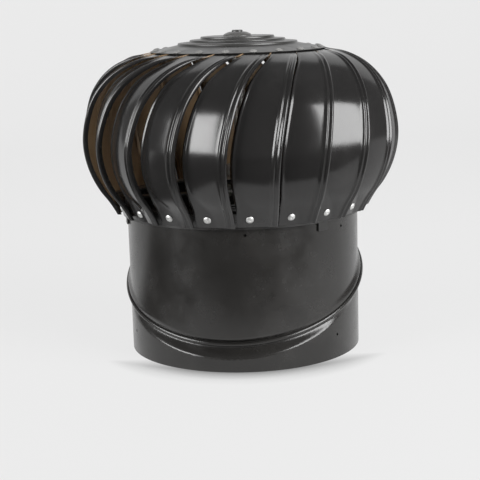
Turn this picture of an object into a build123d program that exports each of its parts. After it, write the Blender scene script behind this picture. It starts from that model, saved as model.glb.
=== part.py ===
"""Roof turbine ventilator: a swivelling two-piece throat, a three-leg bracket with a fixed
shaft, and a twenty-vane rotor that turns on two ball bearings.

Millimetres, +Z up. The origin is the centre of the throat's bottom rim. Azimuths are in degrees
from the front (-Y), positive towards +X.
"""

import os
from math import cos, hypot, radians, sin, tan

from build123d import *

os.makedirs("parts", exist_ok=True)

# Sheet metal and running gaps
SHEET = 0.8
SEAT_GAP = 0.3
RIVET_SEAT_GAP = 0.1
FIT_GAP = 0.02

# Throat: two tubes that meet in a tilted swivel seam
THROAT_RADIUS = 150.0
THROAT_HEIGHT = 200.0
SEAM_TILT = 24.0
SEAM_HEIGHT = 95.0
SEAM_LOW_AZIMUTH = -8.5
SEAM_RADIUS = 153.8
SEAM_NECK = 3.8
LOWER_BLEND = 14.0
UPPER_BLEND = 10.0
BLEND_STEPS = 5
HEM_RADIUS = 2.0
CHANNEL_START = -110.0
CHANNEL_SWEEP = 180.0
SCREW_HOLE_RADIUS = 1.8
BASE_SCREW_HEIGHT = 30.0
BASE_SCREW_AZIMUTH = 50.0
BASE_SCREWS = 3
UPPER_HOLES = ((0.9, 170.0), (54.4, 167.0))

# Three-leg bracket hooked over the throat's top rim
LEGS = 3
LEG_AZIMUTH = 40.2
LEG_WIDTH = 16.0
LEG_THICKNESS = 2.0
LEG_INNER_RADIUS = 12.0
LEG_TIP_HEIGHT = 167.0
LEG_BEND_RADIUS = 1.3
LEG_RIVET_HEIGHT = 188.0
HUB_RADIUS = 26.0
HUB_THICKNESS = 3.0
HUB_BOLT_RADIUS = 19.0

# Fixed shaft
SHAFT_RADIUS = 7.5
SHAFT_TOP_RADIUS = 6.0
SHAFT_THREAD_RADIUS = 5.0
SHAFT_BASE_RADIUS = 12.0
SHAFT_BASE_HEIGHT = 3.7
SHAFT_COLLAR_RADIUS = 9.3
SHAFT_THREAD_LENGTH = 15.0
SHAFT_END_LENGTH = 3.0
SHAFT_CHAMFER = 0.8

# Ball bearings: bore radius, outer radius, width, ball radius, number of balls
LOWER_BEARING = (7.5, 14.0, 7.0, 1.98, 10)
UPPER_BEARING = (6.0, 14.0, 8.0, 2.38, 8)
LOWER_BEARING_HEIGHT = 226.0
UPPER_BEARING_HEIGHT = 378.0
BALL_GAP = 0.06
BEARING_SHOULDER = 0.55
CAGE_HALF_WIDTH = 0.4
CAGE_HALF_HEIGHT = 1.3
SNAP_RING_THICKNESS = 1.0
SNAP_RING_WIDTH = 2.4
SNAP_RING_OPENING = 30.0
SNAP_GROOVE_DEPTH = 0.5

# Rotor vanes
VANES = 20
VANE_PITCH = 360.0 / VANES
VANE_BOTTOM = 181.0
# Each station of the vane, from the bottom up: radius and height of its inner edge's surface,
# how far the outer edge stands proud, the outer edge's azimuth, the width in degrees, the share
# of the rib height, how deep the outer edge turns in, and the share of the width that lies level
VANE_STATIONS = (
    (155.5, 178.0, 5.5, -3.0, 17.4, 1.0, 4.0, 0.5),
    (161.5, 190.5, 6.0, -3.2, 17.4, 1.0, 4.0, 0.5),
    (167.5, 203.0, 7.5, -3.6, 17.2, 1.0, 4.5, 0.4),
    (175.0, 217.5, 10.0, -4.2, 17.0, 1.0, 5.0, 0.2),
    (183.5, 245.0, 14.0, -4.8, 16.7, 1.0, 5.0, 0.0),
    (186.5, 272.0, 16.0, -4.4, 16.6, 1.0, 5.0, 0.0),
    (184.5, 300.0, 15.0, -2.8, 16.6, 1.0, 5.0, 0.0),
    (176.0, 331.0, 12.5, 0.3, 16.7, 1.0, 5.0, 0.0),
    (160.0, 355.5, 8.5, 5.0, 17.1, 1.0, 4.5, 0.0),
    (139.0, 371.0, 5.5, 11.5, 17.3, 0.8, 3.5, 0.0),
)
# Under the cap the vane lies flat: radius, outer edge's azimuth and width in degrees
VANE_CAP_STATIONS = ((113.0, 20.5, 17.3), (98.0, 25.0, 17.5))
VANE_CAP_TURN_IN = 0.2
RIVETED_STATIONS = 2
VANE_RIB_HEIGHT = 2.0
VANE_CURL_HEIGHT = 1.2
VANE_TURN_IN = 5.0
# Each key across a vane's outer edge: distance from the edge where the edge is bent and where it
# lies flat, share of the rib height, and share of the turn-in
VANE_EDGE_KEYS = (
    (0.4, 0.0, 0.0, 1.0),
    (0.5, 1.0, 0.2, 0.5),
    (1.2, 2.2, 0.15, 0.0),
    (3.6, 4.2, 1.0, 0.0),
    (6.2, 6.5, 0.25, 0.0),
    (9.2, 9.2, 0.85, 0.0),
    (12.5, 12.5, 0.0, 0.0),
)
# Each key across its inner edge: distance from the edge and share of the curl height
VANE_CURL_KEYS = ((7.0, 0.0), (3.6, 1.0), (0.8, -1.0))
VANE_MIDDLE_SHARE = 0.45

# Rivets
RIVET_HEAD_RADIUS = 4.7
RIVET_HEAD_HEIGHT = 1.9
RIVET_SHANK_RADIUS = 2.4
RIVET_TAIL_RADIUS = 3.4
RIVET_TAIL_HEIGHT = 1.5
RIVET_HOLE_GAP = 0.1
RIVET_CROWN_REACH = 0.6
RIVET_CROWN_RISE = 0.8
LEG_RIVET_HEAD_HEIGHT = 1.2
VANE_SEAT_GAP = 0.45
VANE_HEAD_GAP = 0.36
CAP_VANE_GAP = 1.0
BOTTOM_RIVET_AZIMUTH = 3.0
BOTTOM_RIVET_RISE = 0.6
CAP_RIVET_AZIMUTH = 10.0
CAP_RIVET_RADIUS = 106.0

# Bottom ring of the rotor
RING_LOWER_RISE = -11.0
RING_UPPER_RISE = 8.0
RING_LIP_HEIGHT = 178.0
RING_FOLD_RISE = 0.24

# Rotor arms and lower bearing housing
ARMS = 4
ARM_WIDTH = 18.0
ARM_THICKNESS = 2.0
ARM_INNER_RADIUS = 16.0
ARM_KNEE_RADIUS = 62.0
ARM_TAIL_RISE = -2.0
ARM_FOLD_RISE = 14.0
ARM_BEND_RADIUS = 2.2
ARM_SEAT_GAP = 0.35
ARM_BOLT_RADIUS = 27.0
HOUSING_WALL = 5.0
HOUSING_FLANGE_RADIUS = 36.0
HOUSING_FLANGE_THICKNESS = 3.0
HOUSING_SKIRT = 5.5
HOUSING_LIP_RADIUS = 11.5
HOUSING_LIP_THICKNESS = 3.0

# Top cap, its crown and the upper bearing housing
CAP_RIM_RADIUS = 112.0
CAP_RIM_HEIGHT = 384.2
CAP_TOP_HEIGHT = 401.0
CAP_STEPS = (
    (77.0, 391.0),
    (76.2, 393.6),
    (61.5, 395.0),
    (60.8, 397.2),
    (47.5, 398.2),
    (46.8, CAP_TOP_HEIGHT),
)
CAP_BEND_RADIUS = 0.9
CAP_SHIFT_IN = 0.6
CAP_SHIFT_DOWN = 0.95
CAP_BOLT_HOLE_RADIUS = 4.2
TOP_FLANGE_RADIUS = 40.0
TOP_FLANGE_THICKNESS = 3.0
TOP_BOSS_RADIUS = 20.0
TOP_BOSS_BOTTOM = 374.0
TOP_RELIEF_RADIUS = 10.0
TOP_RELIEF_HEIGHT = 6.0
CROWN_RADIUS = 18.5
CROWN_SEAT_RADIUS = 7.6
CROWN_SHOULDER_REACH = 0.85
CROWN_SHOULDER_RISE = 0.55
CROWN_TANGENTS = ((-0.2, 1), (-1, 0))
CROWN_HEIGHT = 5.2
CROWN_BOLT_RADIUS = 4.0
CROWN_BOLT_LENGTH = 14.0
CROWN_BOLT_HEAD_RADIUS = 7.0
CROWN_BOLT_HEAD_HEIGHT = 2.2
CROWN_BOLT_HEAD_EDGE = 1.4

# Bolts and nuts
BOLT_RADIUS = 3.0
BOLT_HOLE_GAP = 0.2
BOLT_HEAD_RADIUS = 5.5
BOLT_HEAD_HEIGHT = 4.0
NUT_HEIGHT = 5.0
BOLT_TIP = 1.0
SHAFT_NUT_RADIUS = 9.2
SHAFT_NUT_HEIGHT = 8.0
SHAFT_WASHER_RADIUS = 10.5
SHAFT_WASHER_THICKNESS = 1.6


def smooth(share):
    """Ease from 0 to 1 with level ends."""
    share = min(max(share, 0.0), 1.0)
    return share * share * (3 - 2 * share)


def blend(start, end, share):
    return start + (end - start) * share


def outward(azimuth):
    """Horizontal unit vector at an azimuth from the front."""
    return Vector(sin(radians(azimuth)), -cos(radians(azimuth)), 0)


def along_circle(azimuth):
    """Horizontal unit vector towards growing azimuth."""
    return Vector(cos(radians(azimuth)), sin(radians(azimuth)), 0)


def radial_plane(azimuth):
    """Upright plane through the axis: local x is the radius, local y the height."""
    return Plane(origin=(0, 0, 0), x_dir=outward(azimuth), z_dir=along_circle(azimuth) * -1)


def wall_plane(azimuth, radius, height):
    """Plane on an upright wall, facing outward."""
    origin = outward(azimuth) * radius + Vector(0, 0, height)
    return Plane(origin=origin, x_dir=along_circle(azimuth), z_dir=outward(azimuth))


def write(part, name):
    part.label = name
    export_step(part, f"parts/{name}.step")


# --- Throat -----------------------------------------------------------------------------------

rivet_hole_radius = RIVET_SHANK_RADIUS + RIVET_HOLE_GAP
bolt_hole_radius = BOLT_RADIUS + BOLT_HOLE_GAP
leg_azimuths = [LEG_AZIMUTH + 360 * number / LEGS for number in range(LEGS)]
seam_uphill = outward(SEAM_LOW_AZIMUTH) * -1
seam_x = seam_uphill * cos(radians(SEAM_TILT)) + Vector(0, 0, sin(radians(SEAM_TILT)))
seam_normal = seam_uphill * -sin(radians(SEAM_TILT)) + Vector(0, 0, cos(radians(SEAM_TILT)))
seam_origin = Vector(0, 0, SEAM_HEIGHT)
seam_plane = Plane(origin=seam_origin, x_dir=seam_x, z_dir=seam_normal)
seam_profile_plane = Plane(origin=seam_origin, x_dir=seam_x, z_dir=seam_x.cross(seam_normal))
seam_axis = Axis(seam_origin, seam_normal)
hem_centre = SEAM_RADIUS - SHEET / 2
channel_inner = HEM_RADIUS + SEAT_GAP
channel_outer = channel_inner + SHEET


def throat_outline(distance, inset):
    """Centre shift and half-widths of the throat in a plane parallel to the seam."""
    reach = UPPER_BLEND if distance > 0 else LOWER_BLEND
    share = smooth((abs(distance) - SEAM_NECK) / reach)
    shift = share * distance * tan(radians(SEAM_TILT))
    tube = THROAT_RADIUS - inset
    along = blend(SEAM_RADIUS - inset, tube / cos(radians(SEAM_TILT)), share)
    across = blend(SEAM_RADIUS - inset, tube, share)
    return shift, along, across


def throat_wall(side, reach):
    """Tube wall on one side of the seam, blended into the seam's round neck."""
    with BuildPart() as wall:
        with BuildSketch():
            Circle(THROAT_RADIUS)
            Circle(THROAT_RADIUS - SHEET, mode=Mode.SUBTRACT)
        extrude(amount=THROAT_HEIGHT)
        blend_end = seam_plane.offset(side * (SEAM_NECK + reach))
        split(bisect_by=blend_end, keep=Keep.TOP if side > 0 else Keep.BOTTOM)
        for inset, mode in ((0.0, Mode.ADD), (SHEET, Mode.SUBTRACT)):
            for step in range(BLEND_STEPS + 1):
                distance = side * (SEAM_NECK + reach * step / BLEND_STEPS)
                shift, along, across = throat_outline(distance, inset)
                with BuildSketch(seam_plane.offset(distance)):
                    with Locations((shift, 0)):
                        Ellipse(along, across)
            loft(mode=mode)
    return wall.part


def radial_hole(azimuth, height, radius):
    """Hole through the throat's wall, inside the current part."""
    with Locations(wall_plane(azimuth, THROAT_RADIUS + SHEET, height)):
        Hole(radius, depth=4 * SHEET)


with BuildPart() as lower_throat:
    add(throat_wall(-1, LOWER_BLEND))
    with BuildSketch(seam_profile_plane):
        with BuildLine():
            channel_back = CenterArc((hem_centre, 0), channel_outer, CHANNEL_START, CHANNEL_SWEEP)
            channel_face = CenterArc((hem_centre, 0), channel_inner, CHANNEL_START, CHANNEL_SWEEP)
            Line(channel_back @ 0, channel_face @ 0)
            Line(channel_back @ 1, channel_face @ 1)
        make_face()
        neck_top = -channel_inner - SHEET / 4
        with Locations((hem_centre, (neck_top - SEAM_NECK) / 2)):
            Rectangle(SHEET, SEAM_NECK + neck_top)
    revolve(axis=seam_axis)
    for number in range(BASE_SCREWS):
        screw_azimuth = BASE_SCREW_AZIMUTH + 360 * number / BASE_SCREWS
        radial_hole(screw_azimuth, BASE_SCREW_HEIGHT, SCREW_HOLE_RADIUS)

with BuildPart() as upper_throat:
    add(throat_wall(1, UPPER_BLEND))
    with BuildSketch(seam_profile_plane):
        with Locations((hem_centre, 0)):
            Circle(HEM_RADIUS)
        with Locations((hem_centre, SEAM_NECK / 2)):
            Rectangle(SHEET, SEAM_NECK)
    revolve(axis=seam_axis)
    for hole_azimuth, hole_height in UPPER_HOLES:
        radial_hole(hole_azimuth, hole_height, SCREW_HOLE_RADIUS)
    for leg_azimuth in leg_azimuths:
        radial_hole(leg_azimuth, LEG_RIVET_HEIGHT, rivet_hole_radius)

write(lower_throat.part, "lower_throat")
write(upper_throat.part, "upper_throat")

# --- Bracket ----------------------------------------------------------------------------------

leg_centre_height = THROAT_HEIGHT + SEAT_GAP + LEG_THICKNESS / 2
leg_drop_radius = THROAT_RADIUS + SEAT_GAP + LEG_THICKNESS / 2
leg_face_radius = leg_drop_radius + LEG_THICKNESS / 2
hub_bottom = leg_centre_height + LEG_THICKNESS / 2
hub_top = hub_bottom + HUB_THICKNESS

for number, leg_azimuth in enumerate(leg_azimuths):
    leg_bolt_centre = outward(leg_azimuth) * HUB_BOLT_RADIUS + Vector(0, 0, hub_bottom)
    with BuildPart() as bracket_leg:
        with BuildSketch(radial_plane(leg_azimuth)):
            with BuildLine():
                FilletPolyline(
                    (LEG_INNER_RADIUS, leg_centre_height),
                    (leg_drop_radius, leg_centre_height),
                    (leg_drop_radius, LEG_TIP_HEIGHT),
                    radius=LEG_BEND_RADIUS,
                )
            trace(line_width=LEG_THICKNESS)
        extrude(amount=LEG_WIDTH / 2, both=True)
        with Locations(leg_bolt_centre):
            Hole(bolt_hole_radius, depth=LEG_THICKNESS)
        with Locations(wall_plane(leg_azimuth, leg_face_radius, LEG_RIVET_HEIGHT)):
            Hole(rivet_hole_radius, depth=LEG_THICKNESS)
    write(bracket_leg.part, f"bracket_leg_{number + 1}")

with BuildPart() as bracket_hub:
    with BuildSketch(Plane.XY.offset(hub_bottom)):
        Circle(HUB_RADIUS)
        Circle(SHAFT_THREAD_RADIUS + BOLT_HOLE_GAP, mode=Mode.SUBTRACT)
        with PolarLocations(HUB_BOLT_RADIUS, LEGS, start_angle=LEG_AZIMUTH - 90):
            Circle(bolt_hole_radius, mode=Mode.SUBTRACT)
    extrude(amount=HUB_THICKNESS)
write(bracket_hub.part, "bracket_hub")


def bolt_group(name, radius, count, start_azimuth, head_bottom, grip):
    """Hexagon bolts, heads up, on a circle, and the nuts under the grip."""
    with BuildPart() as bolts:
        with BuildSketch(Plane.XY.offset(head_bottom)):
            with PolarLocations(radius, count, start_angle=start_azimuth - 90):
                RegularPolygon(BOLT_HEAD_RADIUS, 6)
        extrude(amount=BOLT_HEAD_HEIGHT)
        with BuildSketch(Plane.XY.offset(head_bottom)):
            with PolarLocations(radius, count, start_angle=start_azimuth - 90):
                Circle(BOLT_RADIUS)
        extrude(amount=-(grip + NUT_HEIGHT + BOLT_TIP))
    write(bolts.part, f"{name}_bolts")
    with BuildPart() as nuts:
        with BuildSketch(Plane.XY.offset(head_bottom - grip - NUT_HEIGHT)):
            with PolarLocations(radius, count, start_angle=start_azimuth - 90):
                RegularPolygon(BOLT_HEAD_RADIUS, 6)
                Circle(BOLT_RADIUS + FIT_GAP, mode=Mode.SUBTRACT)
        extrude(amount=NUT_HEIGHT)
    write(nuts.part, f"{name}_nuts")


bolt_group("hub", HUB_BOLT_RADIUS, LEGS, LEG_AZIMUTH, hub_top, HUB_THICKNESS + LEG_THICKNESS)


def rivet(grip, head_height):
    """One rivet along local z: the head stands on the XY plane and the tail closes the grip."""
    with BuildPart() as one:
        with BuildSketch(Plane.XZ):
            with BuildLine():
                ThreePointArc(
                    (0, head_height),
                    (RIVET_HEAD_RADIUS * RIVET_CROWN_REACH, head_height * RIVET_CROWN_RISE),
                    (RIVET_HEAD_RADIUS, 0),
                )
                Polyline(
                    (RIVET_HEAD_RADIUS, 0),
                    (RIVET_SHANK_RADIUS, 0),
                    (RIVET_SHANK_RADIUS, -grip),
                    (RIVET_TAIL_RADIUS, -grip),
                    (RIVET_TAIL_RADIUS, -grip - RIVET_TAIL_HEIGHT * RIVET_CROWN_REACH),
                    (RIVET_SHANK_RADIUS, -grip - RIVET_TAIL_HEIGHT),
                    (0, -grip - RIVET_TAIL_HEIGHT),
                    (0, head_height),
                )
            make_face()
        revolve(axis=Axis.Z)
    return one.part


leg_rivet_seat = leg_face_radius + RIVET_SEAT_GAP
leg_rivet_grip = leg_rivet_seat - (THROAT_RADIUS - SHEET) + SEAT_GAP
with BuildPart() as leg_rivets:
    with Locations(*[wall_plane(azimuth, leg_rivet_seat, LEG_RIVET_HEIGHT) for azimuth in leg_azimuths]):
        add(rivet(leg_rivet_grip, LEG_RIVET_HEAD_HEIGHT))
write(leg_rivets.part, "leg_rivets")

# --- Shaft ------------------------------------------------------------------------------------

shaft_end = hub_bottom - SHAFT_THREAD_LENGTH
upper_bearing_top = UPPER_BEARING_HEIGHT + UPPER_BEARING[2]
snap_ring_bottom = upper_bearing_top + RIVET_SEAT_GAP
shaft_top = snap_ring_bottom + SNAP_RING_THICKNESS + SHAFT_END_LENGTH
snap_groove_radius = SHAFT_TOP_RADIUS - SNAP_GROOVE_DEPTH

with BuildPart() as shaft:
    with BuildSketch(Plane.XZ):
        with BuildLine():
            Polyline(
                (0, shaft_end),
                (SHAFT_THREAD_RADIUS, shaft_end),
                (SHAFT_THREAD_RADIUS, hub_top),
                (SHAFT_BASE_RADIUS, hub_top),
                (SHAFT_BASE_RADIUS, hub_top + SHAFT_BASE_HEIGHT),
                (SHAFT_COLLAR_RADIUS, hub_top + SHAFT_BASE_HEIGHT),
                (SHAFT_COLLAR_RADIUS, LOWER_BEARING_HEIGHT),
                (SHAFT_RADIUS, LOWER_BEARING_HEIGHT),
                (SHAFT_RADIUS, UPPER_BEARING_HEIGHT),
                (SHAFT_TOP_RADIUS, UPPER_BEARING_HEIGHT),
                (SHAFT_TOP_RADIUS, snap_ring_bottom),
                (snap_groove_radius, snap_ring_bottom),
                (snap_groove_radius, snap_ring_bottom + SNAP_RING_THICKNESS),
                (SHAFT_TOP_RADIUS, snap_ring_bottom + SNAP_RING_THICKNESS),
                (SHAFT_TOP_RADIUS, shaft_top),
                (0, shaft_top),
                close=True,
            )
        make_face()
    revolve(axis=Axis.Z)
    shaft_circles = shaft.edges().filter_by(GeomType.CIRCLE).sort_by(Axis.Z)
    chamfer([shaft_circles[0], shaft_circles[-1]], SHAFT_CHAMFER)
write(shaft.part, "shaft")


def ring_part(name, inner_radius, outer_radius, bottom, thickness, springs):
    """Flat ring about the axis, with an open gap when it springs."""
    with BuildPart() as ring:
        with BuildSketch(Plane.XY.offset(bottom)):
            Circle(outer_radius)
            Circle(inner_radius, mode=Mode.SUBTRACT)
            if springs:
                opening = 2 * outer_radius * sin(radians(SNAP_RING_OPENING / 2))
                with Locations(((inner_radius + outer_radius) / 2, 0)):
                    Rectangle(2 * (outer_radius - inner_radius), opening, mode=Mode.SUBTRACT)
        extrude(amount=thickness)
    write(ring.part, name)


washer_bottom = hub_bottom - SHAFT_WASHER_THICKNESS
ring_part(
    "shaft_washer",
    SHAFT_THREAD_RADIUS + BOLT_HOLE_GAP,
    SHAFT_WASHER_RADIUS,
    washer_bottom,
    SHAFT_WASHER_THICKNESS,
    springs=False,
)
ring_part(
    "shaft_snap_ring",
    snap_groove_radius + FIT_GAP,
    snap_groove_radius + SNAP_RING_WIDTH,
    snap_ring_bottom + FIT_GAP,
    SNAP_RING_THICKNESS - 2 * FIT_GAP,
    springs=True,
)

with BuildPart() as shaft_nut:
    with BuildSketch(Plane.XY.offset(washer_bottom - SHAFT_NUT_HEIGHT)):
        RegularPolygon(SHAFT_NUT_RADIUS, 6)
        Circle(SHAFT_THREAD_RADIUS + FIT_GAP, mode=Mode.SUBTRACT)
    extrude(amount=SHAFT_NUT_HEIGHT)
write(shaft_nut.part, "shaft_nut")

# --- Ball bearings ----------------------------------------------------------------------------


def ball_bearing(name, bearing, bottom):
    """Inner race, outer race, cage and balls of one deep-groove bearing."""
    bore_radius, outer_radius, width, ball_radius, balls = bearing
    pitch_radius = (bore_radius + outer_radius) / 2
    middle = bottom + width / 2
    shoulder = BEARING_SHOULDER * ball_radius
    cage_half_width = CAGE_HALF_WIDTH * ball_radius
    cage_half_height = CAGE_HALF_HEIGHT * ball_radius
    spans = (
        ("inner_race", bore_radius + FIT_GAP, pitch_radius - shoulder),
        ("outer_race", pitch_radius + shoulder, outer_radius - FIT_GAP),
    )
    for race_name, low_radius, high_radius in spans:
        with BuildPart() as race:
            with BuildSketch(Plane.XZ):
                with Locations(((low_radius + high_radius) / 2, middle)):
                    Rectangle(high_radius - low_radius, width)
                with Locations((pitch_radius, middle)):
                    Circle(ball_radius + BALL_GAP, mode=Mode.SUBTRACT)
            revolve(axis=Axis.Z)
        write(race.part, f"{name}_{race_name}")
    with BuildPart() as ball_set:
        with Locations((0, 0, middle)):
            with PolarLocations(pitch_radius, balls):
                Sphere(ball_radius)
    write(ball_set.part, f"{name}_balls")
    with BuildPart() as cage:
        with BuildSketch(Plane.XZ):
            with Locations((pitch_radius, middle)):
                Rectangle(2 * cage_half_width, 2 * cage_half_height)
        revolve(axis=Axis.Z)
        with Locations((0, 0, middle)):
            with PolarLocations(pitch_radius, balls):
                Cylinder(
                    ball_radius + BALL_GAP,
                    4 * cage_half_width,
                    rotation=(0, 90, 0),
                    mode=Mode.SUBTRACT,
                )
    write(cage.part, f"{name}_cage")


ball_bearing("lower_bearing", LOWER_BEARING, LOWER_BEARING_HEIGHT)
ball_bearing("upper_bearing", UPPER_BEARING, UPPER_BEARING_HEIGHT)

# --- Rotor: the riveted foot of the vanes and the ring behind it ---------------------------------

foot_run = VANE_STATIONS[1][0] - VANE_STATIONS[0][0]
foot_climb = VANE_STATIONS[1][1] - VANE_STATIONS[0][1]
foot_length = hypot(foot_run, foot_climb)
foot_up = (foot_run / foot_length, foot_climb / foot_length)
foot_out = (foot_up[1], -foot_up[0])


def foot_point(rise, depth):
    """Radius and height on the vanes' conical foot: rise along it, depth behind its outer face."""
    radius = VANE_STATIONS[1][0] + rise * foot_up[0] - depth * foot_out[0]
    height = VANE_STATIONS[1][1] + rise * foot_up[1] - depth * foot_out[1]
    return radius, height


def surface_plane(azimuth, point, normal):
    """Plane at a radius and height, facing along a normal given as radial and vertical shares."""
    radius, height = point
    origin = outward(azimuth) * radius + Vector(0, 0, height)
    facing = outward(azimuth) * normal[0] + Vector(0, 0, normal[1])
    return Plane(origin=origin, x_dir=along_circle(azimuth), z_dir=facing)


ring_face_depth = SHEET + VANE_SEAT_GAP
ring_back_depth = ring_face_depth + SHEET
ring_lip_radius = foot_point(RING_LOWER_RISE, ring_face_depth)[0]
ring_fold_height = foot_point(RING_LOWER_RISE, ring_face_depth)[1] + RING_FOLD_RISE
foot_rivet_azimuths = [BOTTOM_RIVET_AZIMUTH + VANE_PITCH * number for number in range(VANES)]


def foot_rivet_planes(depth):
    return [
        surface_plane(azimuth, foot_point(BOTTOM_RIVET_RISE, depth), foot_out)
        for azimuth in foot_rivet_azimuths
    ]


with BuildPart() as bottom_ring:
    with BuildSketch(Plane.XZ):
        with BuildLine():
            Polyline(
                (ring_lip_radius, RING_LIP_HEIGHT),
                foot_point(RING_LOWER_RISE, ring_face_depth),
                foot_point(RING_UPPER_RISE, ring_face_depth),
                foot_point(RING_UPPER_RISE, ring_back_depth),
                (ring_lip_radius - SHEET, ring_fold_height),
                (ring_lip_radius - SHEET, RING_LIP_HEIGHT),
                close=True,
            )
        make_face()
    revolve(axis=Axis.Z)
    with Locations(*foot_rivet_planes(0)):
        Hole(rivet_hole_radius, depth=2 * ring_back_depth)
write(bottom_ring.part, "bottom_ring")

# --- Rotor: cap ---------------------------------------------------------------------------------

cap_drop = (-CAP_SHIFT_IN * SHEET, -CAP_SHIFT_DOWN * SHEET)
cap_flange_run = CAP_RIM_RADIUS - CAP_STEPS[0][0]
cap_flange_climb = CAP_STEPS[0][1] - CAP_RIM_HEIGHT
cap_flange_length = hypot(cap_flange_run, cap_flange_climb)
cap_flange_out = (cap_flange_climb / cap_flange_length, cap_flange_run / cap_flange_length)


def cap_flange_point(radius, depth):
    """Radius and height on the cap's riveted flange, depth below its top face."""
    height = CAP_RIM_HEIGHT + (CAP_RIM_RADIUS - radius) * cap_flange_climb / cap_flange_run
    return radius - depth * cap_flange_out[0], height - depth * cap_flange_out[1]


cap_rivet_azimuths = [CAP_RIVET_AZIMUTH + VANE_PITCH * number for number in range(VANES)]


def cap_rivet_planes(depth):
    return [
        surface_plane(azimuth, cap_flange_point(CAP_RIVET_RADIUS, depth), cap_flange_out)
        for azimuth in cap_rivet_azimuths
    ]


cap_outline = (
    (CAP_RIM_RADIUS, CAP_RIM_HEIGHT),
    *CAP_STEPS,
    (CAP_BOLT_HOLE_RADIUS, CAP_TOP_HEIGHT),
)
with BuildPart() as top_cap:
    with BuildSketch(Plane.XZ):
        with BuildLine():
            cap_face = FilletPolyline(*cap_outline, radius=CAP_BEND_RADIUS)
            add(cap_face.moved(Location((cap_drop[0], cap_drop[1]))))
            Line(cap_face @ 0, cap_face @ 0 + cap_drop)
            Line(cap_face @ 1, cap_face @ 1 + cap_drop)
        make_face()
    revolve(axis=Axis.Z)
    with BuildSketch(Plane.XY.offset(CAP_TOP_HEIGHT)):
        Circle(CAP_BOLT_HOLE_RADIUS)
    extrude(amount=-2 * SHEET, mode=Mode.SUBTRACT)
    with Locations(*cap_rivet_planes(0)):
        Hole(rivet_hole_radius, depth=2 * SHEET)
write(top_cap.part, "top_cap")

# --- Rotor: vanes -------------------------------------------------------------------------------

vane_stations = list(VANE_STATIONS)
for radius, edge_azimuth, width_angle in VANE_CAP_STATIONS:
    under_cap = cap_flange_point(radius, SHEET + CAP_VANE_GAP)
    vane_stations.append((*under_cap, 0.0, edge_azimuth, width_angle, 0.0, VANE_CAP_TURN_IN, 0.0))
vane_meridian = Edge.make_spline([(station[0], 0, station[1]) for station in vane_stations])
vane_keys = len(VANE_EDGE_KEYS) + 3 + len(VANE_CURL_KEYS)
vane_knots = [number / (vane_keys - 1) for number in range(vane_keys)]


def vane_climb(number):
    """Unit direction of the vane's surface up the meridian at a station: radial, vertical."""
    if number < RIVETED_STATIONS:
        return foot_up
    radius, height = vane_stations[number][:2]
    direction = vane_meridian.tangent_at(vane_meridian.param_at_point(Vector(radius, 0, height)))
    return direction.X, direction.Z


def vane_plane(number):
    """Plane across the vane at a station: local x is towards growing azimuth, local y outward."""
    radius, height, _, edge_azimuth, width_angle = vane_stations[number][:5]
    middle = edge_azimuth - width_angle / 2
    climb = vane_climb(number)
    upward = outward(middle) * climb[0] + Vector(0, 0, climb[1])
    origin = outward(middle) * radius + Vector(0, 0, height)
    return Plane(origin=origin, x_dir=along_circle(middle), z_dir=upward * -1)


def vane_outer_line(number):
    """Key points of the vane's outer face across one station, from the outer edge inward."""
    radius, _, proud, _, width_angle, rib_share, turn_in, level = vane_stations[number]
    half = radians(width_angle) * (radius + proud / 2) / 2
    round_radius = radius / vane_climb(number)[1]
    rib = VANE_RIB_HEIGHT * rib_share
    curl = VANE_CURL_HEIGHT * rib_share * (1 - 2 * level)
    bend = turn_in / VANE_TURN_IN

    def key(across, extra):
        share = (across / half + 1) / 2
        raised = proud * max(0.0, (share - level) / (1 - level))
        return across, raised - across * across / (2 * round_radius) + extra

    edge = [
        key(half - blend(flat, bent, bend), rib * rib_part - turn_in * turn_part)
        for bent, flat, rib_part, turn_part in VANE_EDGE_KEYS
    ]
    inner = [key(distance - half, curl * curl_part) for distance, curl_part in VANE_CURL_KEYS]
    middle = (2 * VANE_MIDDLE_SHARE - 1) * half
    between = [
        key((edge[-1][0] + middle) / 2, 0.0),
        key(middle, 0.0),
        key((middle + inner[0][0]) / 2, 0.0),
    ]
    return edge + between + inner


def inset_line(points, depth):
    """The same line moved behind the outer face by the sheet's thickness."""
    moved = []
    for number, (across, high) in enumerate(points):
        before = points[max(number - 1, 0)]
        after = points[min(number + 1, len(points) - 1)]
        run, climb = after[0] - before[0], after[1] - before[1]
        length = hypot(run, climb)
        moved.append((across - depth * climb / length, high + depth * run / length))
    return moved


with BuildPart() as vane_blank:
    for number in range(len(vane_stations)):
        outer_line = vane_outer_line(number)
        inner_line = inset_line(outer_line, SHEET)
        with BuildSketch(vane_plane(number)):
            with BuildLine():
                add(Edge.make_spline(outer_line, parameters=vane_knots))
                Line(outer_line[-1], inner_line[-1])
                add(Edge.make_spline(inner_line[::-1], parameters=vane_knots))
                Line(inner_line[0], outer_line[0])
            make_face()
    loft()
    split(bisect_by=Plane.XY.offset(VANE_BOTTOM), keep=Keep.TOP)
    foot_hole_start = foot_point(BOTTOM_RIVET_RISE, -RIVET_HEAD_HEIGHT)
    with Locations(surface_plane(BOTTOM_RIVET_AZIMUTH - VANE_PITCH, foot_hole_start, foot_out)):
        Hole(rivet_hole_radius, depth=2 * RIVET_HEAD_HEIGHT)
    cap_hole_start = cap_flange_point(CAP_RIVET_RADIUS, 0)
    with Locations(surface_plane(CAP_RIVET_AZIMUTH, cap_hole_start, cap_flange_out)):
        Hole(rivet_hole_radius, depth=5 * SHEET)

for number in range(VANES):
    with BuildPart() as vane:
        with Locations(Rotation(0, 0, number * VANE_PITCH)):
            add(vane_blank.part)
    write(vane.part, f"vane_{number + 1:02d}")

# --- Rotor: arms, lower bearing housing ----------------------------------------------------------

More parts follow.
